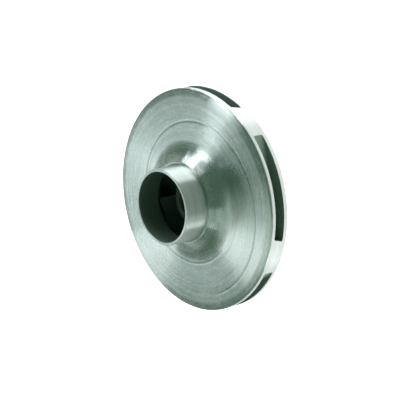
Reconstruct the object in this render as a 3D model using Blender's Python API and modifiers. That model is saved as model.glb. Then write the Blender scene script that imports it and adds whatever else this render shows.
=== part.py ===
"""Closed centrifugal pump impeller, 160 mm across, built from its turned and milled steel pieces.

The rotation axis is Z and the suction side faces +Z. The part stands on the rear face of its hub,
and the origin is the centre of that face. X points into one of the outlets.
"""

from math import atan2, cos, log, pi, radians, sin, sqrt, tan

import bmesh
import bpy

# Driving dimensions, in metres and radians
OUTER_RADIUS = 0.080
OUTLET_WIDTH = 0.0081
SHROUD_RIM_THICKNESS = 0.0030
PLATE_THICKNESS = 0.0035
RIM_CHAMFER = 0.0004
JOINT_GAP = 0.0003

# Suction neck: a thin turned tube that stands on the collar of the front shroud
EYE_RADIUS = 0.0249
NECK_WALL = 0.0021
NECK_MOUTH_HEIGHT = 0.0282
NECK_MOUTH_CHAMFER = 0.0004

# Front shroud, with heights above the plane of its front rim
COLLAR_RADIUS = 0.0294
COLLAR_HEIGHT = 0.0104
COLLAR_CHAMFER = 0.0003
FLARE_END_RADIUS = 0.0444
CONE_RISE = 0.0018
FLARE_THICKNESS = 0.0040

# Vanes: backward-swept, thin at the inlet and wide at the rim
VANE_COUNT = 5
FIRST_LAND_ANGLE = radians(33.5)
LAND_ANGLE = radians(19.6)
VANE_INLET_RADIUS = 0.0265
VANE_INLET_THICKNESS = 0.0030
VANE_NOSE_LENGTH = 0.0016
INLET_BLADE_ANGLE = radians(25)
OUTLET_BLADE_ANGLE = radians(19)

# Hub: a sleeve that passes through the back plate and carries it on the shoulder of its skirt
SHAFT_RADIUS = 0.0120
HUB_RADIUS = 0.0200
HUB_PROJECTION = 0.0060
HUB_NOSE_HEIGHT = 0.0130
HUB_NOSE_RADIUS = 0.0165
HUB_NOSE_ROUND = 0.0020
SKIRT_RADIUS = 0.0255
SKIRT_EDGE = 0.0008
HUB_CHAMFER = 0.0005
KEYWAY_WIDTH = 0.0080
KEYWAY_DEPTH = 0.0033

# Resolution of the turned shapes
RING_STEPS = 96
HUB_STEPS = 64
ARC_POINTS = 8
VANE_POINTS = 14

# Heights of the main planes above the hub's rear face
PLATE_BACK = HUB_PROJECTION
PLATE_FRONT = PLATE_BACK + PLATE_THICKNESS
SHROUD_UNDERSIDE = PLATE_FRONT + OUTLET_WIDTH
RIM_PLANE = SHROUD_UNDERSIDE + SHROUD_RIM_THICKNESS
COLLAR_TOP = RIM_PLANE + COLLAR_HEIGHT
NECK_TOP = RIM_PLANE + NECK_MOUTH_HEIGHT
HUB_TOP = PLATE_FRONT + HUB_NOSE_HEIGHT

NECK_RADIUS = EYE_RADIUS + NECK_WALL
OVERCUT = 0.002


def clear_scene():
    """Remove the objects that the start-up file brings."""
    for obj in list(bpy.data.objects):
        bpy.data.objects.remove(obj, do_unlink=True)


def new_collection(name):
    collection = bpy.data.collections.new(name)
    bpy.context.scene.collection.children.link(collection)
    return collection


def steel(name, colour, roughness):
    """A plain machined steel for one sub-part."""
    material = bpy.data.materials.new(name)
    material.use_nodes = True
    shader = material.node_tree.nodes["Principled BSDF"]
    shader.inputs["Base Color"].default_value = (*colour, 1.0)
    shader.inputs["Metallic"].default_value = 1.0
    shader.inputs["Roughness"].default_value = roughness
    material.diffuse_color = (*colour, 1.0)
    return material


def add_object(name, mesh, collection, material=None):
    obj = bpy.data.objects.new(name, mesh)
    collection.objects.link(obj)
    if material is not None:
        obj.data.materials.append(material)
    return obj


def turned(name, profile, steps, collection, material=None):
    """Turn a closed outline of (radius, height) points about Z."""
    mesh = bpy.data.meshes.new(name)
    corners = [(radius, 0.0, height) for radius, height in profile]
    edges = [(i, (i + 1) % len(corners)) for i in range(len(corners))]
    mesh.from_pydata(corners, edges, [])
    obj = add_object(name, mesh, collection, material)
    screw = obj.modifiers.new("Turn", "SCREW")
    screw.steps = steps
    screw.render_steps = steps
    screw.use_merge_vertices = True
    screw.merge_threshold = 0.00001
    screw.use_smooth_shade = True
    return obj


def arc(centre, radius, start, end, count):
    """Points of (radius, height) round a centre, both ends included."""
    angles = [start + (end - start) * i / (count - 1) for i in range(count)]
    return [(centre[0] + radius * cos(a), centre[1] + radius * sin(a)) for a in angles]


def flare_centre():
    """Centre and radius of the flare's outer arc.

    The arc is level where it meets the cone, and it ends at the foot of the collar's chamfer.
    """
    across = FLARE_END_RADIUS - COLLAR_RADIUS
    rise = COLLAR_HEIGHT - COLLAR_CHAMFER - CONE_RISE
    radius = (across ** 2 + rise ** 2) / (2 * rise)
    return (FLARE_END_RADIUS, RIM_PLANE + CONE_RISE + radius), radius


def outer_flare():
    """The front face of the shroud from the collar down to the cone."""
    centre, radius = flare_centre()
    start = atan2(COLLAR_TOP - COLLAR_CHAMFER - centre[1], COLLAR_RADIUS - centre[0])
    if start > 0:
        start -= 2 * pi
    return arc(centre, radius, start, -pi / 2, ARC_POINTS)


def inner_flare(offset=0.0, throat=EYE_RADIUS):
    """The underside of the shroud from its flat part up to the throat, moved down by an offset."""
    centre, radius = flare_centre()
    radius += FLARE_THICKNESS + offset
    end = -pi + atan2(sqrt(radius ** 2 - (centre[0] - throat) ** 2), centre[0] - throat)
    return arc(centre, radius, -pi / 2, end, ARC_POINTS)


def make_suction_neck(collection):
    foot = COLLAR_TOP + JOINT_GAP
    edge = NECK_MOUTH_CHAMFER
    profile = [
        (EYE_RADIUS + edge, NECK_TOP),
        (NECK_RADIUS - edge, NECK_TOP),
        (NECK_RADIUS, NECK_TOP - edge),
        (NECK_RADIUS, foot),
        (EYE_RADIUS, foot),
        (EYE_RADIUS, NECK_TOP - edge),
    ]
    colour = (0.60, 0.64, 0.61)
    turned("suction_neck", profile, RING_STEPS, collection, steel("neck_steel", colour, 0.28))


def make_front_shroud(collection):
    profile = [(EYE_RADIUS, COLLAR_TOP), (COLLAR_RADIUS - COLLAR_CHAMFER, COLLAR_TOP)]
    profile += outer_flare()
    profile += [
        (OUTER_RADIUS - RIM_CHAMFER, RIM_PLANE),
        (OUTER_RADIUS, RIM_PLANE - RIM_CHAMFER),
        (OUTER_RADIUS, SHROUD_UNDERSIDE),
    ]
    profile += inner_flare()
    colour = (0.57, 0.61, 0.58)
    turned("front_shroud", profile, RING_STEPS, collection, steel("shroud_steel", colour, 0.32))


def make_back_plate(collection):
    hole = HUB_RADIUS + JOINT_GAP
    profile = [
        (hole, PLATE_FRONT),
        (OUTER_RADIUS, PLATE_FRONT),
        (OUTER_RADIUS, PLATE_BACK + RIM_CHAMFER),
        (OUTER_RADIUS - RIM_CHAMFER, PLATE_BACK),
        (hole, PLATE_BACK),
    ]
    colour = (0.56, 0.60, 0.57)
    turned("back_plate", profile, RING_STEPS, collection, steel("plate_steel", colour, 0.34))


def make_hub(collection, cutters):
    """Sleeve with a rounded nose, a flared skirt over the plate and a keyway in its bore."""
    skirt_foot = PLATE_FRONT + JOINT_GAP
    skirt_top = skirt_foot + SKIRT_EDGE
    nose_side = HUB_TOP - HUB_NOSE_ROUND
    nose = arc((HUB_NOSE_RADIUS - HUB_NOSE_ROUND, nose_side), HUB_NOSE_ROUND, pi / 2, 0, 4)
    across = SKIRT_RADIUS - HUB_NOSE_RADIUS
    sweep = [i / (ARC_POINTS - 1) * pi / 2 for i in range(1, ARC_POINTS)]
    drop = nose_side - skirt_top
    flare = [(SKIRT_RADIUS - across * cos(a), nose_side - drop * sin(a)) for a in sweep]
    profile = [(SHAFT_RADIUS + HUB_CHAMFER, HUB_TOP)]
    profile += nose + flare
    profile += [
        (SKIRT_RADIUS, skirt_foot),
        (HUB_RADIUS, skirt_foot),
        (HUB_RADIUS, HUB_CHAMFER),
        (HUB_RADIUS - HUB_CHAMFER, 0.0),
        (SHAFT_RADIUS + HUB_CHAMFER, 0.0),
        (SHAFT_RADIUS, HUB_CHAMFER),
        (SHAFT_RADIUS, HUB_TOP - HUB_CHAMFER),
    ]
    material = steel("hub_steel", (0.54, 0.58, 0.56), 0.36)
    hub = turned("hub", profile, HUB_STEPS, collection, material)

    mesh = bpy.data.meshes.new("keyway_cutter")
    shape = bmesh.new()
    bmesh.ops.create_cube(shape, size=1.0)
    reach = SHAFT_RADIUS + KEYWAY_DEPTH
    bmesh.ops.scale(shape, vec=(reach, KEYWAY_WIDTH, HUB_TOP + 2 * OVERCUT), verts=shape.verts)
    bmesh.ops.translate(shape, vec=(reach / 2, 0.0, HUB_TOP / 2), verts=shape.verts)
    shape.to_mesh(mesh)
    shape.free()
    cutter = add_object("keyway_cutter", mesh, cutters)
    cut(hub, cutter, "DIFFERENCE")


def cut(obj, cutter, operation):
    """Cut or trim an object with a hidden cutter."""
    cutter.hide_render = True
    cutter.display_type = "WIRE"
    boolean = obj.modifiers.new("Cut", "BOOLEAN")
    boolean.operation = operation
    boolean.solver = "EXACT"
    boolean.object = cutter


def make_passage(cutters):
    """The space between the plates, less the joint gaps. It trims the vanes to their height."""
    inner_limit = HUB_NOSE_RADIUS
    underside = inner_flare(offset=JOINT_GAP)
    profile = [(inner_limit, underside[-1][1]), (underside[-1][0], underside[-1][1])]
    profile += underside[-2::-1]
    profile += [
        (OUTER_RADIUS, SHROUD_UNDERSIDE - JOINT_GAP),
        (OUTER_RADIUS, PLATE_FRONT + JOINT_GAP),
        (inner_limit, PLATE_FRONT + JOINT_GAP),
    ]
    return turned("passage", profile, RING_STEPS, cutters)


def blade_angle(radius):
    """Angle between the vane and the circle it crosses, eased from inlet to outlet."""
    along = (radius - VANE_INLET_RADIUS) / (OUTER_RADIUS - VANE_INLET_RADIUS)
    return INLET_BLADE_ANGLE + (OUTLET_BLADE_ANGLE - INLET_BLADE_ANGLE) * along


def vane_sides(radius, wrap):
    """Bearings of both sides of a vane at a radius, measured from the middle of its land."""
    tip_thickness = LAND_ANGLE * OUTER_RADIUS * sin(OUTLET_BLADE_ANGLE)
    along = (radius - VANE_INLET_RADIUS) / (OUTER_RADIUS - VANE_INLET_RADIUS)
    thickness = VANE_INLET_THICKNESS + (tip_thickness - VANE_INLET_THICKNESS) * along
    into_nose = min((radius - VANE_INLET_RADIUS) / VANE_NOSE_LENGTH, 1.0)
    thickness *= sqrt(into_nose * (2 - into_nose))
    half = thickness / (2 * radius * sin(blade_angle(radius)))
    return wrap - half, wrap + half


def vane_outline():
    """Plan outline of a vane whose land lies on +X, from beyond the rim to the nose and back."""
    start = VANE_INLET_RADIUS
    nose = [start + VANE_NOSE_LENGTH * (1 - cos(pi / 2 * i / 3)) for i in range(3)]
    body_start = start + VANE_NOSE_LENGTH
    end = OUTER_RADIUS + OVERCUT
    body = [body_start + (end - body_start) * i / (VANE_POINTS - 1) for i in range(VANE_POINTS)]
    radii = nose + body

    def wrap_between(inner, outer):
        middle = (inner + outer) / 2
        return log(outer / inner) / tan(blade_angle(middle))

    wrap = wrap_between(OUTER_RADIUS, radii[-1])
    trailing, leading = [], []
    for i in range(len(radii) - 1, -1, -1):
        low, high = vane_sides(radii[i], wrap)
        trailing.append((radii[i], low))
        leading.append((radii[i], high))
        if i:
            wrap -= wrap_between(radii[i - 1], radii[i])
    outline = trailing + leading[-2::-1]
    return [(radius * cos(bearing), radius * sin(bearing)) for radius, bearing in outline]


def make_vanes(collection, cutters):
    passage = make_passage(cutters)
    material = steel("vane_steel", (0.48, 0.52, 0.50), 0.40)
    shape = bmesh.new()
    corners = [shape.verts.new((x, y, PLATE_BACK)) for x, y in vane_outline()]
    floor = shape.faces.new(corners)
    raised = bmesh.ops.extrude_face_region(shape, geom=[floor])["geom"]
    top = [item for item in raised if isinstance(item, bmesh.types.BMVert)]
    bmesh.ops.translate(shape, vec=(0.0, 0.0, COLLAR_TOP - PLATE_BACK), verts=top)
    bmesh.ops.recalc_face_normals(shape, faces=shape.faces)
    for number in range(1, VANE_COUNT + 1):
        mesh = bpy.data.meshes.new(f"vane_{number}")
        shape.to_mesh(mesh)
        bearing = FIRST_LAND_ANGLE + 2 * pi * (number - 1) / VANE_COUNT
        vane = add_object(f"vane_{number}", mesh, collection, material)
        vane.rotation_euler = (0.0, 0.0, bearing)
        cut(vane, passage, "INTERSECT")
    shape.free()


def main():
    clear_scene()
    impeller = new_collection("impeller")
    cutters = new_collection("cutters")
    make_suction_neck(impeller)
    make_front_shroud(impeller)
    make_back_plate(impeller)
    make_hub(impeller, cutters)
    make_vanes(impeller, cutters)


main()
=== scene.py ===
"""Finished look of a closed pump impeller: turned steel pieces, pale floor, studio light, camera."""

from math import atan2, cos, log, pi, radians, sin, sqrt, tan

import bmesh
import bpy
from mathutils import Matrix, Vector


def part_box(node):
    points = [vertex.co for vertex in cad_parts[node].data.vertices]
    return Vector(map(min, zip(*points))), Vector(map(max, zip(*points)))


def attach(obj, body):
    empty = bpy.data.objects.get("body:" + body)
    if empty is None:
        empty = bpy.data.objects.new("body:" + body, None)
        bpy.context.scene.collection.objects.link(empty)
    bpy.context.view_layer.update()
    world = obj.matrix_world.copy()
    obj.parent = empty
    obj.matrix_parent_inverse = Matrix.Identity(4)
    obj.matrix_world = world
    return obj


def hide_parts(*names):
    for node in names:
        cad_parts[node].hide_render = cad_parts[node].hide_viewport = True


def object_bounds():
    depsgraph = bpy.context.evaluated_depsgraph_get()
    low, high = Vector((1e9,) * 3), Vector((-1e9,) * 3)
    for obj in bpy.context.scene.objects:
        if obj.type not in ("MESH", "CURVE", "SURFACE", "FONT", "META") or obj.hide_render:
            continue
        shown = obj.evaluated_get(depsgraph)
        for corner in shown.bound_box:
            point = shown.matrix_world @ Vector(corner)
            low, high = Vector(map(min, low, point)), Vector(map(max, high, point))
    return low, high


bl_info = {
    "name": "Closed pump impeller",
    "version": (1, 0, 0),
    "blender": (4, 5, 0),
    "location": "3D View > Sidebar > Impeller",
    "description": "Dresses a packed pump impeller in turned steel and sets up its studio",
    "category": "Object",
}

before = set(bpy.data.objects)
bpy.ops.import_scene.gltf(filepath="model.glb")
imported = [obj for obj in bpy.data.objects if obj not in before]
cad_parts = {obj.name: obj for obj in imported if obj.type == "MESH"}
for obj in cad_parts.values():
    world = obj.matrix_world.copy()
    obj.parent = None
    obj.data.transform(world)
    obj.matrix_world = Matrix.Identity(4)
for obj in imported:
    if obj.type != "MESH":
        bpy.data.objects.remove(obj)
CAD_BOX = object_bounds()

SHROUD_LOW, SHROUD_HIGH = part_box("front_shroud")
NECK_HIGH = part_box("suction_neck")[1]
PLATE_LOW, PLATE_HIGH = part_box("back_plate")
HUB_LOW, HUB_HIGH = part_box("hub")

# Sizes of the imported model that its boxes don't give, in metres and radians, as the part has them
EYE_RADIUS = NECK_HIGH.x - 0.0021
RIM_PLANE = SHROUD_LOW.z + 0.0030
SHAFT_RADIUS = 0.0120
HUB_RADIUS = 0.0200
HUB_NOSE_RADIUS = 0.0165
HUB_NOSE_ROUND = 0.0020
SKIRT_EDGE = 0.0008
KEYWAY_WIDTH = 0.0080
KEYWAY_DEPTH = 0.0033
VANE_COUNT = 5
FIRST_LAND_ANGLE = radians(33.5)
LAND_ANGLE = radians(19.6)
VANE_INLET_RADIUS = 0.0265
VANE_INLET_THICKNESS = 0.0030
VANE_NOSE_LENGTH = 0.0016
INLET_BLADE_ANGLE = radians(25)
OUTLET_BLADE_ANGLE = radians(19)

# The tool mark on the front face is one spiral, a little off centre, in rim radii and radians
SPIRAL_FROM = radians(-92)
SPIRAL_TO = radians(300)
SPIRAL_FADE = radians(14)
SPIRAL_RADIUS = 0.776
SPIRAL_FEED = 0.0472
SPIRAL_OFFSET = 0.0260
SPIRAL_OFFSET_BEARING = radians(-22)

# The camera's axis meets the picture's middle, and the rim plane's middle lies a little off it
CAMERA_LENS = 101.7
RIM_CENTRE_LEFT = 0.0715
RIM_CENTRE_BELOW = 0.0040

LIGHT_DISTANCE = 1.2
FLOOR_RADIUS = 3.0
FLOOR_GAP = 0.0002
FLOOR_GLOW = 0.76
SURROUNDINGS = (0.55, 1.0, 0.70, 1.0)
SURROUNDINGS_STRENGTH = 0.16
COOL_LIGHT = (0.88, 0.95, 0.99)
PALE_LIGHT = (0.95, 0.97, 1.0)
GREEN_LIGHT = (0.85, 1.0, 0.94)

RIM_STEPS = 320
NECK_STEPS = 256
HUB_STEPS = 192
CONE_RINGS = 110
BEVEL_RINGS = 20
BEVEL_CURVE = 1.3
FLARE_POINTS = 40
BODY_POINTS = 26

# How deep the shader's bump takes the turned grooves and the cast grains, in metres, and how strongly
GROOVE_DEPTH = 0.0002
GROOVE_STRENGTH = 0.02
GRAIN_DEPTH = 0.0003
GRAIN_STRENGTH = 0.35

# Share of the colour left by painted shade: in the tool mark's groove, and in the cast skin near the eye and
# at the rim
MARK_PAINTED_SHADE = 0.78
PAINTED_SHADE_AT_EYE = 0.55
PAINTED_SHADE_AT_RIM = 0.88

# Places of a piece's materials
MAIN_FINISH, CAST_AND_SHADE_FINISH, RIM_FINISH = 0, 1, 2


def length_setting(name, description, default):
    return bpy.props.FloatProperty(
        name=name, description=description, default=default, min=0.0, unit="LENGTH", precision=5
    )


def angle_setting(name, description, default):
    return bpy.props.FloatProperty(
        name=name, description=description, default=default, unit="ROTATION"
    )


def colour_setting(name, description, default):
    return bpy.props.FloatVectorProperty(
        name=name, description=description, default=default, size=3, min=0.0, max=1.0,
        subtype="COLOR",
    )


def factor_setting(name, description, default):
    return bpy.props.FloatProperty(
        name=name, description=description, default=default, min=0.0, max=1.0, subtype="FACTOR"
    )


class ImpellerSizes(bpy.types.PropertyGroup):
    """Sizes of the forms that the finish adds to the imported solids."""

    rim_radius: length_setting("Rim radius", "Outside radius of both shrouds", SHROUD_HIGH.x)
    neck_radius: length_setting("Neck radius", "Outside radius of the suction neck", NECK_HIGH.x)
    neck_top: length_setting("Neck top", "Height of the neck's mouth", NECK_HIGH.z)
    collar_top: length_setting("Collar top", "Height of the shroud's collar", SHROUD_HIGH.z)
    collar_radius: length_setting("Collar radius", "Outside radius of the collar", 0.0294)
    flare_end: length_setting("Flare end", "Radius where the flare meets the cone", 0.0444)
    flare_slope: angle_setting("Flare slope", "Slope of the flare at the collar", radians(48))
    cone_rise: length_setting("Cone rise", "Rise of the front face from rim to flare", 0.0018)
    flare_wall: length_setting("Flare wall", "Thickness of the shroud in its flare", 0.0040)
    bevel_start: length_setting("Bevel start", "Radius where the rim's bevel begins", 0.0740)
    bevel_drop: length_setting("Bevel drop", "Fall of the rim's bevel", 0.0010)
    edge_round: length_setting("Edge round", "Radius of the broken edges", 0.0004)
    front_edge: length_setting("Front edge", "Radius of the front shroud's rounded rim edge", 0.0015)
    mouth_round: length_setting("Mouth round", "Radius of the edges of the neck's mouth", 0.0004)
    mark_depth: length_setting("Mark depth", "Depth of the spiral tool mark", 0.00012)
    mark_width: length_setting("Mark width", "Half width of the spiral tool mark", 0.0013)
    vane_draft: angle_setting("Vane draft", "How far the vanes' outer sides lean at the rim", radians(1.5))
    neck_fillet: length_setting("Neck fillet", "Fillet between the neck and the collar", 0.0014)
    vane_fillet: length_setting("Vane fillet", "Fillet between the vanes and the shrouds", 0.0007)
    weld_fillet: length_setting("Weld fillet", "Fillet between the hub and the back plate", 0.0012)


class SteelLook(bpy.types.PropertyGroup):
    """Colours and finish of the steel."""

    turned: colour_setting("Turned steel", "Colour of the turned faces", (0.62, 0.66, 0.635))
    neck: colour_setting("Neck steel", "Colour of the polished neck", (0.54, 0.585, 0.56))
    # The rim's colour is lighter than the turned steel: a painted highlight on the rim and the vanes' lands.
    rim: colour_setting("Rim steel", "Colour of the rim and the vanes' lands", (0.94, 0.945, 0.94))
    # The cast skin's colour; the material darkens it further with painted shade towards the eye.
    cast: colour_setting("Cast skin", "Colour of the unmachined passages", (0.24, 0.33, 0.27))
    roughness: factor_setting("Roughness", "Roughness of the turned faces", 0.26)
    neck_roughness: factor_setting("Neck roughness", "Roughness of the neck", 0.38)
    rim_roughness: factor_setting("Rim roughness", "Roughness of the rim", 0.36)
    grain: factor_setting("Grain", "How far the turned grain stretches reflections", 1.0)
    neck_grain: factor_setting("Neck grain", "How far the neck's grain stretches reflections", 0.88)
    lean: angle_setting("Lean", "How far the face's grooves turn towards the rim", radians(6))
    neck_lean: angle_setting("Neck lean", "How far the neck's grooves turn towards its mouth", radians(18))


class StudioLook(bpy.types.PropertyGroup):
    """Camera and studio."""

    tilt: angle_setting("Tilt", "Angle between the camera's axis and the impeller's", radians(49.94))
    roll: angle_setting("Roll", "Camera roll about its own axis", radians(13.05))
    distance: length_setting("Distance", "Camera distance from the middle of the rim plane", 0.80)
    floor: colour_setting("Floor", "Colour of the floor", (0.92, 0.92, 0.92))


def rounded(corners, segments=5):
    """Outline of (radius, height) points with arcs in place of the corners that ask for one."""
    outline = []
    count = len(corners)
    for i, (r, z, rounding) in enumerate(corners):
        here = Vector((r, z))
        if rounding <= 0.0:
            outline.append(here)
            continue
        back = (Vector(corners[i - 1][:2]) - here).normalized()
        ahead = (Vector(corners[(i + 1) % count][:2]) - here).normalized()
        half = back.angle(ahead) / 2
        centre = here + (back + ahead).normalized() * (rounding / sin(half))
        first = here + back * (rounding / tan(half)) - centre
        last = here + ahead * (rounding / tan(half)) - centre
        turn = first.angle_signed(last)
        for k in range(segments + 1):
            outline.append(centre + Matrix.Rotation(-turn * k / segments, 2) @ first)
    return [(point.x, point.y) for point in outline]


def turned_shape(outline, steps):
    """A bmesh of a closed (radius, height) outline turned once about Z.

    One sector is spun, and four doublings of it close the turn, which is quicker than a full spin.
    """
    doublings = 4
    sector = 2 * pi / 2 ** doublings
    shape = bmesh.new()
    verts = [shape.verts.new((r, 0.0, z)) for r, z in outline]
    edges = [shape.edges.new((verts[i - 1], verts[i])) for i in range(len(verts))]
    bmesh.ops.spin(
        shape, geom=verts + edges, cent=(0, 0, 0), axis=(0, 0, 1), dvec=(0, 0, 0),
        angle=sector, steps=steps // 2 ** doublings, use_duplicate=False,
    )
    for doubling in range(doublings):
        geometry = shape.verts[:] + shape.edges[:] + shape.faces[:]
        copy = bmesh.ops.duplicate(shape, geom=geometry)["geom"]
        turn = Matrix.Rotation(sector * 2 ** doubling, 3, "Z")
        copied = [item for item in copy if isinstance(item, bmesh.types.BMVert)]
        bmesh.ops.rotate(shape, cent=(0, 0, 0), matrix=turn, verts=copied)
    bmesh.ops.remove_doubles(shape, verts=shape.verts, dist=1e-6)
    bmesh.ops.recalc_face_normals(shape, faces=shape.faces)
    return shape


def add_piece(name, shape, finishes, finish_at=None, sharp=radians(28)):
    """Link a bmesh as a smooth object; finish_at gives a face's finish from its place and normal."""
    shape.normal_update()
    for face in shape.faces:
        face.smooth = True
        if finish_at is not None:
            face.material_index = finish_at(face.calc_center_median(), face.normal)
    mesh = bpy.data.meshes.new(name)
    shape.to_mesh(mesh)
    shape.free()
    mesh.set_sharp_from_angle(angle=sharp)
    piece = bpy.data.objects.new(name, mesh)
    bpy.context.scene.collection.objects.link(piece)
    for finish in finishes:
        mesh.materials.append(finish)
    return piece


def stand_for(piece, node):
    """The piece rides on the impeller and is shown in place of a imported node."""
    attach(piece, "root")
    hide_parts(node)


def reach(place):
    """Distance from the turning axis."""
    return sqrt(place.x ** 2 + place.y ** 2)


# Front shroud


def flare_arc(sizes):
    """Centre and radius of the flare's outer arc, level at the cone and tangent to the collar's slope."""
    across = sizes.flare_end - sizes.collar_radius
    rise = sizes.collar_top - RIM_PLANE - sizes.cone_rise
    slope = sizes.flare_slope
    radius = (across * tan(slope) - rise) / (1 / cos(slope) - 1)
    return Vector((sizes.flare_end, RIM_PLANE + sizes.cone_rise + radius)), radius


def arc_points(centre, radius, start, end, count):
    angles = [start + (end - start) * i / (count - 1) for i in range(count)]
    return [(centre.x + radius * cos(a), centre.y + radius * sin(a), 0.0) for a in angles]


def flare_points(sizes):
    """The front of the flare, from the collar's edge down to the cone."""
    centre, radius = flare_arc(sizes)
    edge = (sizes.collar_radius, sizes.collar_top, sizes.edge_round)
    return [edge] + arc_points(centre, radius, -pi / 2 - sizes.flare_slope, -pi / 2, FLARE_POINTS)


def face_points(sizes):
    """The cone and the rim's soft bevel, in rings fine enough to carry the tool mark."""
    shoulder = RIM_PLANE + sizes.bevel_drop
    foot = RIM_PLANE + sizes.cone_rise
    points = []
    for i in range(1, CONE_RINGS + 1):
        along = i / CONE_RINGS
        points.append((
            sizes.flare_end + (sizes.bevel_start - sizes.flare_end) * along,
            foot + (shoulder - foot) * along, 0.0,
        ))
    width = sizes.rim_radius - sizes.bevel_start
    for i in range(1, BEVEL_RINGS + 1):
        out = (width - sizes.front_edge) * i / BEVEL_RINGS
        fall = sizes.bevel_drop * (out / width) ** BEVEL_CURVE
        points.append((sizes.bevel_start + out, shoulder - fall, 0.0))
    return points


def underside_points(sizes):
    """The shroud's underside, from below the flare's foot up into the throat."""
    centre, radius = flare_arc(sizes)
    radius += sizes.flare_wall
    across = centre.x - EYE_RADIUS
    end = -pi + atan2(sqrt(radius ** 2 - across ** 2), across)
    return arc_points(centre, radius, -pi / 2, end, FLARE_POINTS)


def underside_height(radius, sizes):
    """Height of the shroud's underside at a radius."""
    foot = RIM_PLANE + sizes.cone_rise - sizes.flare_wall
    if radius >= sizes.flare_end:
        along = (sizes.rim_radius - radius) / (sizes.rim_radius - sizes.flare_end)
        return SHROUD_LOW.z + (foot - SHROUD_LOW.z) * along
    centre, arc = flare_arc(sizes)
    arc += sizes.flare_wall
    return centre.y - sqrt(arc ** 2 - (centre.x - radius) ** 2)


def spiral_radius(bearing, sizes):
    """Radius of the spiral tool mark, which runs inwards as the bearing grows."""
    offset = SPIRAL_OFFSET * cos(bearing - SPIRAL_OFFSET_BEARING)
    return sizes.rim_radius * (SPIRAL_RADIUS - SPIRAL_FEED * bearing + offset)


def engrave_spiral(shape, sizes):
    """Sink the spiral tool mark into the front face; it runs out at both ends."""
    for vert in shape.verts:
        place = vert.co
        radius = reach(place)
        if place.z < RIM_PLANE or radius < sizes.flare_end - 2 * sizes.mark_width:
            continue
        for turn in (0.0, 2 * pi):
            bearing = atan2(place.y, place.x) + turn
            off = abs(radius - spiral_radius(bearing, sizes)) / sizes.mark_width
            share = min(bearing - SPIRAL_FROM, SPIRAL_TO - bearing) / SPIRAL_FADE
            if off < 1.0 and share > 0.0:
                place.z -= sizes.mark_depth * min(share, 1.0) * (1 + cos(pi * off)) / 2


# Vanes


def blade_angle(radius):
    """Angle between the vane and the circle it crosses, eased from inlet to outlet."""
    along = (radius - VANE_INLET_RADIUS) / (SHROUD_HIGH.x - VANE_INLET_RADIUS)
    return INLET_BLADE_ANGLE + (OUTLET_BLADE_ANGLE - INLET_BLADE_ANGLE) * along


def vane_plan(sizes, spread, bearing, draft):
    """Plan outline of a vane whose sides stand out by spread; its land is an arc of the rim."""
    rim = sizes.rim_radius
    inlet = VANE_INLET_RADIUS - spread
    tip_thickness = LAND_ANGLE * rim * sin(OUTLET_BLADE_ANGLE)
    nose = [inlet + VANE_NOSE_LENGTH * (1 - cos(pi / 2 * i / 6)) for i in range(6)]
    body_start = inlet + VANE_NOSE_LENGTH
    body = [body_start + (rim - body_start) * i / BODY_POINTS for i in range(BODY_POINTS + 1)]
    radii = nose + body
    wrap = bearing
    lower, upper = [], []
    for i in range(len(radii) - 1, -1, -1):
        radius = radii[i]
        along = (radius - VANE_INLET_RADIUS) / (rim - VANE_INLET_RADIUS)
        into_nose = min((radius - inlet) / VANE_NOSE_LENGTH, 1.0)
        thickness = VANE_INLET_THICKNESS + (tip_thickness - VANE_INLET_THICKNESS) * along
        thickness = (thickness + 2 * spread) * sqrt(into_nose * (2 - into_nose))
        half = thickness / (2 * radius * sin(blade_angle(radius)))
        lower.append((radius, wrap - half))
        upper.append((radius, wrap + half - draft * max(along, 0.0)))
        if i:
            middle = (radius + radii[i - 1]) / 2
            wrap -= log(radius / radii[i - 1]) / tan(blade_angle(middle))
    first, last = lower[0][1], upper[0][1]
    land = [(rim, last + (first - last) * i / 12) for i in range(1, 12)]
    polar = lower + upper[-2::-1] + land
    return [(r * cos(a), r * sin(a)) for r, a in polar]


def vane_shape(sizes, bearing):
    """A vane as a stack of its plan outlines, spread into fillets at both shrouds."""
    fillet = sizes.vane_fillet
    steps = [radians(a) for a in (0, 25, 55, 90)]
    levels = [(fillet * (1 - sin(a)), fillet * (1 - cos(a)), False) for a in steps]
    levels += [(spread, rise, True) for spread, rise, _ in reversed(levels)]
    shape = bmesh.new()
    loops = []
    for spread, rise, from_top in levels:
        ring = []
        for x, y in vane_plan(sizes, spread, bearing, 0.0 if from_top else sizes.vane_draft):
            height = PLATE_HIGH.z + rise
            if from_top:
                height = underside_height(sqrt(x ** 2 + y ** 2), sizes) - rise
            ring.append(shape.verts.new((x, y, height)))
        loops.append([shape.edges.new((ring[i - 1], ring[i])) for i in range(len(ring))])
    for below, above in zip(loops, loops[1:]):
        bmesh.ops.bridge_loops(shape, edges=below + above)
    bmesh.ops.contextual_create(shape, geom=loops[0])
    bmesh.ops.contextual_create(shape, geom=loops[-1])
    bmesh.ops.recalc_face_normals(shape, faces=shape.faces)
    return shape


# Node groups


def new_group(name, inputs, outputs):
    """A shader node group with float or vector sockets, and its input and output nodes."""
    group = bpy.data.node_groups.new(name, "ShaderNodeTree")
    kinds = {"float": "NodeSocketFloat", "vector": "NodeSocketVector", "colour": "NodeSocketColor"}
    for label, kind, default in inputs:
        socket = group.interface.new_socket(label, in_out="INPUT", socket_type=kinds[kind])
        if default is not None:
            socket.default_value = default
    for label, kind in outputs:
        group.interface.new_socket(label, in_out="OUTPUT", socket_type=kinds[kind])
    return group, group.nodes.new("NodeGroupInput"), group.nodes.new("NodeGroupOutput")


def math_node(tree, operation, first, second=0.0, clamp=False):
    """A math node fed by sockets or numbers; returns its output socket."""
    node = tree.nodes.new("ShaderNodeMath")
    node.operation = operation
    node.use_clamp = clamp
    for socket, value in zip(node.inputs, (first, second)):
        if isinstance(value, (int, float)):
            socket.default_value = value
        else:
            tree.links.new(value, socket)
    return node.outputs[0]


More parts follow.
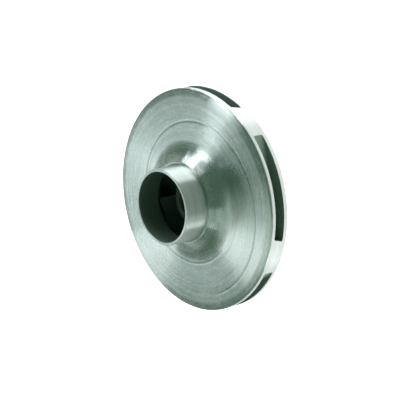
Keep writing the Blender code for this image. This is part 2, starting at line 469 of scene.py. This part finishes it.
def ranged(tree, value, low, high, to_low, to_high, smooth=False):
    """Map a value from one range to another, held at the ends."""
    node = tree.nodes.new("ShaderNodeMapRange")
    node.interpolation_type = "SMOOTHSTEP" if smooth else "LINEAR"
    tree.links.new(value, node.inputs["Value"])
    for label, number in zip(("From Min", "From Max", "To Min", "To Max"), (low, high, to_low, to_high)):
        node.inputs[label].default_value = number
    return node.outputs["Result"]


def vector_node(tree, operation, *values):
    """A vector math node fed by sockets or number triples; returns its output socket."""
    node = tree.nodes.new("ShaderNodeVectorMath")
    node.operation = operation
    for socket, value in zip(node.inputs, values):
        if isinstance(value, tuple):
            socket.default_value = value
        else:
            tree.links.new(value, socket)
    return node.outputs[0]


def combined(tree, x, y=0.0, z=0.0):
    """A vector of sockets or numbers."""
    node = tree.nodes.new("ShaderNodeCombineXYZ")
    for socket, value in zip(node.inputs, (x, y, z)):
        if isinstance(value, (int, float)):
            socket.default_value = value
        else:
            tree.links.new(value, socket)
    return node.outputs[0]


def tinted(tree, colour, shade):
    """A colour made darker or lighter by a shade."""
    tint = tree.nodes.new("ShaderNodeMix")
    tint.data_type = "RGBA"
    tint.blend_type = "MULTIPLY"
    tint.inputs[0].default_value = 1.0
    tint.inputs[6].default_value = (*colour, 1.0)
    tree.links.new(combined(tree, shade, shade, shade), tint.inputs[7])
    return tint.outputs[2]


def bumped(tree, height, strength, depth, normal=None):
    """A normal that follows a height, over the surface's own or a given normal."""
    bump = tree.nodes.new("ShaderNodeBump")
    bump.inputs["Strength"].default_value = strength
    bump.inputs["Distance"].default_value = depth
    tree.links.new(height, bump.inputs["Height"])
    if normal is not None:
        tree.links.new(normal, bump.inputs["Normal"])
    return bump.outputs["Normal"]


def noise(tree, vector, scale, detail=2.0, roughness=0.5):
    """Noise over a vector; its scale is a number or a socket."""
    node = tree.nodes.new("ShaderNodeTexNoise")
    tree.links.new(vector, node.inputs["Vector"])
    if isinstance(scale, (int, float)):
        node.inputs["Scale"].default_value = scale
    else:
        tree.links.new(scale, node.inputs["Scale"])
    node.inputs["Detail"].default_value = detail
    node.inputs["Roughness"].default_value = roughness
    return node.outputs["Fac"]


def polar_place(tree, position):
    """Radius, bearing and height of a position about the turning axis."""
    parts = tree.nodes.new("ShaderNodeSeparateXYZ")
    tree.links.new(position, parts.inputs[0])
    x, y, z = parts.outputs
    radius = math_node(tree, "SQRT", math_node(tree, "ADD", math_node(tree, "MULTIPLY", x, x),
                                               math_node(tree, "MULTIPLY", y, y)))
    bearing = math_node(tree, "ARCTAN2", y, x)
    return radius, bearing, z


def turning_group():
    """Rings left by the lathe: fine grooves, wider bands and broken arcs of scratches."""
    group, inlet, outlet = new_group(
        "Turning marks",
        [("Position", "vector", None), ("Ring Density", "float", 900.0), ("Band Density", "float", 260.0)],
        [("Rings", "float"), ("Bands", "float"), ("Scratches", "float"), ("Smudges", "float")],
    )
    radius, bearing, height = polar_place(group, inlet.outputs["Position"])
    flat = combined(group, radius, height, 0.0)
    rings = noise(group, flat, inlet.outputs["Ring Density"], 1.0)
    bands = noise(group, flat, inlet.outputs["Band Density"], 2.0)
    arcs = combined(group, math_node(group, "MULTIPLY", radius, 700.0),
                    math_node(group, "MULTIPLY", bearing, 2.2),
                    math_node(group, "MULTIPLY", height, 700.0))
    scratches = ranged(group, noise(group, arcs, 1.0, 1.0), 0.52, 0.75, 0.0, 1.0, smooth=True)
    smudges = noise(group, inlet.outputs["Position"], 160.0, 2.0)
    group.links.new(rings, outlet.inputs["Rings"])
    group.links.new(bands, outlet.inputs["Bands"])
    group.links.new(scratches, outlet.inputs["Scratches"])
    group.links.new(smudges, outlet.inputs["Smudges"])
    return group


def tool_mark_group(sizes):
    """Mask of the spiral tool mark, which paints shade into its groove."""
    group, inlet, outlet = new_group(
        "Tool mark", [("Position", "vector", None), ("Half Width", "float", sizes.mark_width)],
        [("Mark", "float")],
    )
    radius, bearing, height = polar_place(group, inlet.outputs["Position"])
    mark = math_node(group, "GREATER_THAN", height, RIM_PLANE - 0.0005)
    strongest = 0.0
    for turn in (0.0, 2 * pi):
        turned = math_node(group, "ADD", bearing, turn)
        lead = math_node(group, "COSINE", math_node(group, "SUBTRACT", turned, SPIRAL_OFFSET_BEARING))
        lead = math_node(group, "MULTIPLY", lead, SPIRAL_OFFSET)
        inward = math_node(group, "MULTIPLY", turned, -SPIRAL_FEED)
        spiral = math_node(group, "ADD", math_node(group, "ADD", inward, SPIRAL_RADIUS), lead)
        spiral = math_node(group, "MULTIPLY", spiral, sizes.rim_radius)
        off = math_node(group, "ABSOLUTE", math_node(group, "SUBTRACT", radius, spiral))
        line = line_mask(group, off, inlet.outputs["Half Width"])
        started = ranged(group, turned, SPIRAL_FROM, SPIRAL_FROM + SPIRAL_FADE, 0.0, 1.0)
        ending = ranged(group, turned, SPIRAL_TO - SPIRAL_FADE, SPIRAL_TO, 1.0, 0.0)
        line = math_node(group, "MULTIPLY", line, math_node(group, "MULTIPLY", started, ending))
        strongest = math_node(group, "MAXIMUM", line, strongest)
    group.links.new(math_node(group, "MULTIPLY", mark, strongest), outlet.inputs["Mark"])
    return group


def line_mask(tree, off, width):
    """One on a line, falling to nothing at its half width."""
    share = math_node(tree, "DIVIDE", off, width)
    return ranged(tree, share, 0.25, 1.0, 1.0, 0.0, smooth=True)


def place_group(tree, group, position):
    node = tree.nodes.new("ShaderNodeGroup")
    node.node_tree = group
    tree.links.new(position, node.inputs["Position"])
    return node


def steel_shader(name, roughness, grain):
    """A Principled metal whose reflections stretch across the grooves that run round its axis."""
    material = bpy.data.materials.new(name)
    material.use_nodes = True
    tree = material.node_tree
    shader = tree.nodes["Principled BSDF"]
    shader.inputs["Metallic"].default_value = 1.0
    shader.inputs["Roughness"].default_value = roughness
    position = tree.nodes.new("ShaderNodeTexCoord").outputs["Object"]
    around = vector_node(tree, "CROSS_PRODUCT", (0.0, 0.0, 1.0), position)
    tree.links.new(vector_node(tree, "NORMALIZE", around), shader.inputs["Tangent"])
    shader.inputs["Anisotropic"].default_value = grain
    shader.inputs["Anisotropic Rotation"].default_value = 0.25
    return material, tree, shader, position


def leaning_normal(tree, position, outward, upward):
    """The surface's normal, turned outwards and upwards as the wider sides of its grooves are."""
    parts = tree.nodes.new("ShaderNodeSeparateXYZ")
    tree.links.new(position, parts.inputs[0])
    away = vector_node(tree, "NORMALIZE", combined(tree, parts.outputs[0], parts.outputs[1]))
    out = (tan(outward), tan(outward), 0.0)
    lean = vector_node(tree, "MULTIPLY_ADD", away, out, (0.0, 0.0, tan(upward)))
    own = tree.nodes.new("ShaderNodeNewGeometry").outputs["Normal"]
    return vector_node(tree, "NORMALIZE", vector_node(tree, "ADD", lean, own))


def turned_steel(name, colour, roughness, grain, marks, tool_mark=None, outward=0.0, upward=0.0):
    """Turned steel with rings, bands, arc scratches and smudges, and on the front face a tool mark whose
    groove is darkened by painted shade.
    """
    material, tree, shader, position = steel_shader(name, roughness, grain)
    turning = place_group(tree, marks, position).outputs
    shade = ranged(tree, turning["Bands"], 0.3, 0.7, 0.94, 1.05)
    shade = math_node(tree, "MULTIPLY", shade, ranged(tree, turning["Rings"], 0.3, 0.7, 0.96, 1.03))
    shade = math_node(tree, "MULTIPLY", shade, ranged(tree, turning["Smudges"], 0.3, 0.7, 0.95, 1.05))
    shade = math_node(tree, "MULTIPLY", shade, ranged(tree, turning["Scratches"], 0.0, 1.0, 1.0, 0.92))
    if tool_mark is not None:
        # Painted shade: the tool mark's groove is darkened.
        mark = place_group(tree, tool_mark, position).outputs["Mark"]
        shade = math_node(tree, "MULTIPLY", shade, ranged(tree, mark, 0.0, 1.0, 1.0, MARK_PAINTED_SHADE))
    tree.links.new(tinted(tree, colour, shade), shader.inputs["Base Color"])

    rough = math_node(tree, "ADD", ranged(tree, turning["Smudges"], 0.3, 0.7, -0.015, 0.015), roughness)
    rough = math_node(tree, "ADD", rough, ranged(tree, turning["Rings"], 0.3, 0.7, -0.02, 0.02))
    tree.links.new(rough, shader.inputs["Roughness"])

    leant = leaning_normal(tree, position, outward, upward) if outward or upward else None
    normal = bumped(tree, turning["Rings"], GROOVE_STRENGTH, GROOVE_DEPTH, leant)
    tree.links.new(normal, shader.inputs["Normal"])
    return material


def cast_skin_and_shade(name, colour, sizes):
    """The unmachined skin of the passages, dull and dark, with painted shade that darkens it towards the
    eye.
    """
    material = bpy.data.materials.new(name)
    material.use_nodes = True
    tree = material.node_tree
    shader = tree.nodes["Principled BSDF"]
    position = tree.nodes.new("ShaderNodeTexCoord").outputs["Object"]
    radius = polar_place(tree, position)[0]
    # Painted shade: the skin's colour darkens from the rim towards the eye.
    shade = ranged(tree, radius, sizes.flare_end, sizes.rim_radius, PAINTED_SHADE_AT_EYE, PAINTED_SHADE_AT_RIM, smooth=True)
    grains = noise(tree, position, 900.0, 3.0, 0.6)
    shade = math_node(tree, "MULTIPLY", shade, ranged(tree, grains, 0.3, 0.7, 0.75, 1.2))
    tree.links.new(tinted(tree, colour, shade), shader.inputs["Base Color"])
    shader.inputs["Metallic"].default_value = 0.0
    tree.links.new(ranged(tree, grains, 0.3, 0.7, 0.62, 0.78), shader.inputs["Roughness"])
    tree.links.new(bumped(tree, grains, GRAIN_STRENGTH, GRAIN_DEPTH), shader.inputs["Normal"])
    return material


def finishes(main):
    """A piece's materials: its main steel, the cast skin with its painted shade and the rim's steel with its
    painted highlight; all are made once.
    """
    look = bpy.context.scene.impeller_steel
    sizes = bpy.context.scene.impeller_sizes
    steels = bpy.data.materials
    if "face_turned" not in steels:
        marks = turning_group()
        spiral = tool_mark_group(sizes)
        turned_steel("face_turned", look.turned, look.roughness, look.grain, marks, spiral,
                     outward=look.lean)
        turned_steel("neck_polished", look.neck, look.neck_roughness, look.neck_grain, marks,
                     upward=look.neck_lean)
        turned_steel("plate_turned", look.turned, look.roughness, look.grain, marks)
        # Rim steel with a lighter colour: painted highlight.
        turned_steel("rim_bright", look.rim, look.rim_roughness, look.grain, marks)
        cast_skin_and_shade("passage_cast", look.cast, sizes)
    return [steels[main], steels["passage_cast"], steels["rim_bright"]]


class FrontShroudOperator(bpy.types.Operator):
    """Turn the front shroud, with its collar, flare, cone, rim bevel and spiral tool mark"""

    bl_idname = "impeller.front_shroud"
    bl_label = "Front shroud"

    def execute(self, context):
        sizes = context.scene.impeller_sizes
        corners = [(EYE_RADIUS, sizes.collar_top, 0.0)]
        corners += flare_points(sizes)
        corners += face_points(sizes)
        corners.append((sizes.rim_radius, RIM_PLANE, sizes.front_edge))
        corners.append((sizes.rim_radius, SHROUD_LOW.z, 0.0))
        corners += underside_points(sizes)
        shape = turned_shape(rounded(corners, 4), RIM_STEPS)
        engrave_spiral(shape, sizes)

        def finish_at(place, normal):
            if reach(place) > sizes.rim_radius - sizes.front_edge / 100:
                return RIM_FINISH
            # The throat gets the dark cast skin as painted shade; the underside gets the real cast skin.
            is_inside = normal.z < -0.3 or reach(place) < EYE_RADIUS + sizes.edge_round
            return CAST_AND_SHADE_FINISH if is_inside else MAIN_FINISH

        piece = add_piece("shroud_front_turned", shape, finishes("face_turned"), finish_at)
        stand_for(piece, "front_shroud")
        return {"FINISHED"}


class SuctionNeckOperator(bpy.types.Operator):
    """Turn the suction neck, with broken edges round its mouth and a fine fillet at its foot"""

    bl_idname = "impeller.suction_neck"
    bl_label = "Suction neck"

    def execute(self, context):
        sizes = context.scene.impeller_sizes
        foot = sizes.collar_top
        corners = [
            (EYE_RADIUS, sizes.neck_top, sizes.mouth_round),
            (sizes.neck_radius, sizes.neck_top, sizes.mouth_round),
            (sizes.neck_radius, foot, sizes.neck_fillet),
            (sizes.neck_radius + sizes.neck_fillet, foot, 0.0),
            (EYE_RADIUS, foot, 0.0),
        ]
        shape = turned_shape(rounded(corners, 5), NECK_STEPS)

        def finish_at(place, normal):
            # The neck's inner wall is turned steel; it gets the dark cast skin as painted shade.
            return CAST_AND_SHADE_FINISH if reach(place) < EYE_RADIUS + sizes.edge_round / 8 else MAIN_FINISH

        piece = add_piece("neck_turned_tube", shape, finishes("neck_polished"), finish_at)
        stand_for(piece, "suction_neck")
        return {"FINISHED"}


class BackPlateOperator(bpy.types.Operator):
    """Turn the flat back plate, with a fillet where the hub passes through it"""

    bl_idname = "impeller.back_plate"
    bl_label = "Back plate"

    def execute(self, context):
        sizes = context.scene.impeller_sizes
        fillet = sizes.weld_fillet
        corners = [
            (HUB_RADIUS, PLATE_HIGH.z, 0.0),
            (sizes.rim_radius, PLATE_HIGH.z, 0.0),
            (sizes.rim_radius, PLATE_LOW.z, sizes.edge_round),
            (HUB_RADIUS + fillet, PLATE_LOW.z, fillet / 2),
            (HUB_RADIUS, PLATE_LOW.z - fillet, 0.0),
        ]
        shape = turned_shape(rounded(corners, 4), RIM_STEPS)

        def finish_at(place, normal):
            if reach(place) > sizes.rim_radius - sizes.edge_round / 2:
                return RIM_FINISH
            return CAST_AND_SHADE_FINISH if normal.z > 0.3 else MAIN_FINISH

        piece = add_piece("plate_turned_disc", shape, finishes("plate_turned"), finish_at)
        stand_for(piece, "back_plate")
        return {"FINISHED"}


class HubOperator(bpy.types.Operator):
    """Turn the hub, with a flared skirt, a rounded nose and a keyway in its bore"""

    bl_idname = "impeller.hub"
    bl_label = "Hub"

    def execute(self, context):
        sizes = context.scene.impeller_sizes
        edge = sizes.edge_round
        skirt_radius = HUB_HIGH.x
        skirt_top = PLATE_HIGH.z + SKIRT_EDGE
        nose_side = HUB_HIGH.z - HUB_NOSE_ROUND
        across = skirt_radius - HUB_NOSE_RADIUS
        drop = nose_side - skirt_top
        sweep = [pi / 2 * i / FLARE_POINTS for i in range(1, FLARE_POINTS + 1)]
        corners = [(SHAFT_RADIUS, HUB_HIGH.z, edge), (HUB_NOSE_RADIUS, HUB_HIGH.z, HUB_NOSE_ROUND * 0.9)]
        corners += [(skirt_radius - across * cos(a), nose_side - drop * sin(a), 0.0) for a in sweep]
        corners += [
            (skirt_radius, PLATE_HIGH.z, 0.0),
            (HUB_RADIUS, PLATE_HIGH.z, 0.0),
            (HUB_RADIUS, HUB_LOW.z, edge),
            (SHAFT_RADIUS, HUB_LOW.z, edge),
        ]
        shape = turned_shape(rounded(corners, 5), HUB_STEPS)

        def finish_at(place, normal):
            # The bore and the hub's faces inside the passages get the dark cast skin; in the bore it is
            # painted shade.
            is_boss = place.z < PLATE_LOW.z and reach(place) > SHAFT_RADIUS + edge / 2
            return MAIN_FINISH if is_boss else CAST_AND_SHADE_FINISH

        piece = add_piece("hub_bored_sleeve", shape, finishes("plate_turned"), finish_at)
        cut_keyway(piece)
        stand_for(piece, "hub")
        return {"FINISHED"}


def cut_keyway(hub):
    """Cut the keyway along the bore, on the X side."""
    depth = SHAFT_RADIUS + KEYWAY_DEPTH
    middle = (HUB_LOW.z + HUB_HIGH.z) / 2
    shape = bmesh.new()
    bmesh.ops.create_cube(shape, size=1.0)
    bmesh.ops.scale(shape, vec=(depth, KEYWAY_WIDTH, 2 * HUB_HIGH.z), verts=shape.verts)
    bmesh.ops.translate(shape, vec=(depth / 2, 0.0, middle), verts=shape.verts)
    cutter = add_piece("keyway_cutter", shape, hub.data.materials[:1])
    boolean = hub.modifiers.new("Keyway", "BOOLEAN")
    boolean.operation = "DIFFERENCE"
    boolean.solver = "EXACT"
    boolean.object = cutter
    bpy.context.view_layer.update()
    cut = bpy.data.meshes.new_from_object(hub.evaluated_get(bpy.context.evaluated_depsgraph_get()))
    hub.modifiers.remove(boolean)
    hub.data = cut
    bpy.data.objects.remove(cutter)


class VanesOperator(bpy.types.Operator):
    """Build the five vanes, with lands flush with the rim and fillets at both shrouds"""

    bl_idname = "impeller.vanes"
    bl_label = "Vanes"

    def execute(self, context):
        sizes = context.scene.impeller_sizes

        def finish_at(place, normal):
            is_land = reach(place) > sizes.rim_radius - sizes.edge_round / 4
            return RIM_FINISH if is_land else CAST_AND_SHADE_FINISH

        for number in range(1, VANE_COUNT + 1):
            bearing = FIRST_LAND_ANGLE + 2 * pi * (number - 1) / VANE_COUNT
            shape = vane_shape(sizes, bearing)
            piece = add_piece(f"vane_swept_{number}", shape, finishes("plate_turned"), finish_at)
            stand_for(piece, f"vane_{number}")
        return {"FINISHED"}


class StageOperator(bpy.types.Operator):
    """Set up the floor, the studio light and the camera"""

    bl_idname = "impeller.stage"
    bl_label = "Floor, light and camera"

    def execute(self, context):
        scene = context.scene
        studio = scene.impeller_studio
        scene.view_settings.view_transform = "Standard"
        make_floor(studio)
        make_camera(scene, studio, scene.impeller_sizes)
        make_lights(scene)
        return {"FINISHED"}


def make_floor(studio):
    """A pale floor that glows, except under the impeller where its glow is taken out as a painted shadow,
    and that is seen through from below.
    """
    shape = bmesh.new()
    bmesh.ops.create_circle(shape, cap_ends=True, segments=96, radius=FLOOR_RADIUS)
    material = bpy.data.materials.new("floor_pale")
    material.use_nodes = True
    shader = material.node_tree.nodes["Principled BSDF"]
    shader.inputs["Base Color"].default_value = (*studio.floor, 1.0)
    shader.inputs["Roughness"].default_value = 0.9
    shader.inputs["Emission Color"].default_value = (1.0, 1.0, 1.0, 1.0)
    tree = material.node_tree
    glow = math_node(tree, "ADD", tree.nodes.new("ShaderNodeLightPath").outputs["Is Camera Ray"], FLOOR_GLOW)
    radius = polar_place(tree, tree.nodes.new("ShaderNodeTexCoord").outputs["Object"])[0]
    # Painted shadow: no glow under the impeller.
    outside_painted_shadow = ranged(tree, radius, SHAFT_RADIUS * 2, SHROUD_HIGH.x * 0.9, 0.0, 1.0, smooth=True)
    tree.links.new(math_node(tree, "MULTIPLY", glow, outside_painted_shadow), shader.inputs["Emission Strength"])
    from_below = tree.nodes.new("ShaderNodeNewGeometry").outputs["Backfacing"]
    tree.links.new(math_node(tree, "SUBTRACT", 1.0, from_below), shader.inputs["Alpha"])
    floor = add_piece("floor", shape, [material])
    floor.location.z = CAD_BOX[0][2] - FLOOR_GAP


def make_camera(scene, studio, sizes):
    """Place the camera in the plane of X and Z, turned about its own axis by the roll."""
    tilt, roll = studio.tilt, studio.roll
    back = Vector((sin(tilt), 0.0, cos(tilt)))
    right = Vector((cos(tilt) * cos(roll), -sin(roll), -sin(tilt) * cos(roll)))
    up = Vector((cos(tilt) * sin(roll), cos(roll), -sin(tilt) * sin(roll)))
    place = Vector((0.0, 0.0, RIM_PLANE)) + back * studio.distance
    place += right * (RIM_CENTRE_LEFT * sizes.rim_radius) + up * (RIM_CENTRE_BELOW * sizes.rim_radius)
    camera = bpy.data.objects.new("camera", bpy.data.cameras.new("camera"))
    camera.data.lens = CAMERA_LENS
    camera.data.clip_start = 0.01
    camera.matrix_world = Matrix.Translation(place) @ Matrix((right, up, back)).transposed().to_4x4()
    scene.collection.objects.link(camera)
    scene.camera = camera


def add_softbox(scene, name, bearing, elevation, size, power, colour):
    """A rectangular light that faces the impeller; its bearing runs from +X towards +Y, in degrees."""
    light = bpy.data.lights.new(name, "AREA")
    light.shape = "RECTANGLE"
    light.size, light.size_y = size
    light.energy = power
    light.color = colour
    lamp = bpy.data.objects.new(name, light)
    around, above = radians(bearing), radians(elevation)
    away = Vector((cos(above) * cos(around), cos(above) * sin(around), sin(above)))
    lamp.location = Vector((0.0, 0.0, RIM_PLANE)) + away * LIGHT_DISTANCE
    lamp.rotation_euler = away.to_track_quat("Z", "Y").to_euler()
    lamp.visible_camera = False
    scene.collection.objects.link(lamp)


def make_lights(scene):
    """A faint surrounding, long boxes low at the sides, and smaller ones above and behind."""
    world = bpy.data.worlds.new("studio")
    scene.world = world
    world.use_nodes = True
    background = world.node_tree.nodes["Background"]
    background.inputs["Color"].default_value = SURROUNDINGS
    background.inputs["Strength"].default_value = SURROUNDINGS_STRENGTH
    add_softbox(scene, "left_front", 71, 5, (0.70, 0.21), 2.6, PALE_LIGHT)
    add_softbox(scene, "left_back", 104, 5, (0.52, 0.21), 1.6, COOL_LIGHT)
    add_softbox(scene, "left_wall", 94, 17, (0.44, 0.34), 1.5, COOL_LIGHT)
    add_softbox(scene, "key", 110, 51, (0.38, 0.30), 1.3, COOL_LIGHT)
    add_softbox(scene, "key_low", 101, 35, (0.28, 0.30), 0.4, COOL_LIGHT)
    add_softbox(scene, "key_side", 132, 56, (0.20, 0.34), 0.3, COOL_LIGHT)
    add_softbox(scene, "back_low", 189, 11, (0.24, 0.46), 0.4, PALE_LIGHT)
    add_softbox(scene, "back_wall", 178, 35, (0.36, 0.44), 1.1, COOL_LIGHT)
    add_softbox(scene, "back_high", 202, 52, (0.28, 0.26), 0.4, PALE_LIGHT)
    add_softbox(scene, "right_low", 292, 4, (0.32, 0.18), 0.6, PALE_LIGHT)
    add_softbox(scene, "right_wide", 300, 5, (0.72, 0.18), 0.6, PALE_LIGHT)
    add_softbox(scene, "right_high", 306, 47, (0.56, 0.32), 0.5, GREEN_LIGHT)
    add_softbox(scene, "right_top", 262, 51, (0.56, 0.32), 0.3, GREEN_LIGHT)
    add_softbox(scene, "top", 228, 72, (0.50, 0.50), 0.5, GREEN_LIGHT)


class ImpellerPanel(bpy.types.Panel):
    """Settings and steps of the impeller"""

    bl_idname = "VIEW3D_PT_impeller"
    bl_label = "Impeller"
    bl_space_type = "VIEW_3D"
    bl_region_type = "UI"
    bl_category = "Impeller"

    def draw(self, context):
        layout = self.layout
        for settings in SETTINGS:
            group = getattr(context.scene, settings)
            for key in group.bl_rna.properties.keys():
                if key not in {"rna_type", "name"}:
                    layout.prop(group, key)
        for operator in OPERATORS:
            layout.operator(operator.bl_idname)


SETTINGS = {
    "impeller_sizes": ImpellerSizes,
    "impeller_steel": SteelLook,
    "impeller_studio": StudioLook,
}
OPERATORS = (
    StageOperator,
    FrontShroudOperator,
    SuctionNeckOperator,
    BackPlateOperator,
    HubOperator,
    VanesOperator,
)


def register():
    for name, settings in SETTINGS.items():
        bpy.utils.register_class(settings)
        setattr(bpy.types.Scene, name, bpy.props.PointerProperty(type=settings))
    for operator in OPERATORS:
        bpy.utils.register_class(operator)
    bpy.utils.register_class(ImpellerPanel)


def unregister():
    bpy.utils.unregister_class(ImpellerPanel)
    for operator in reversed(OPERATORS):
        bpy.utils.unregister_class(operator)
    for name, settings in SETTINGS.items():
        delattr(bpy.types.Scene, name)
        bpy.utils.unregister_class(settings)


def main():
    register()
    bpy.ops.impeller.stage()
    bpy.ops.impeller.front_shroud()
    bpy.ops.impeller.suction_neck()
    bpy.ops.impeller.back_plate()
    bpy.ops.impeller.hub()
    bpy.ops.impeller.vanes()
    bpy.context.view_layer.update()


if __name__ == "__main__":
    main()
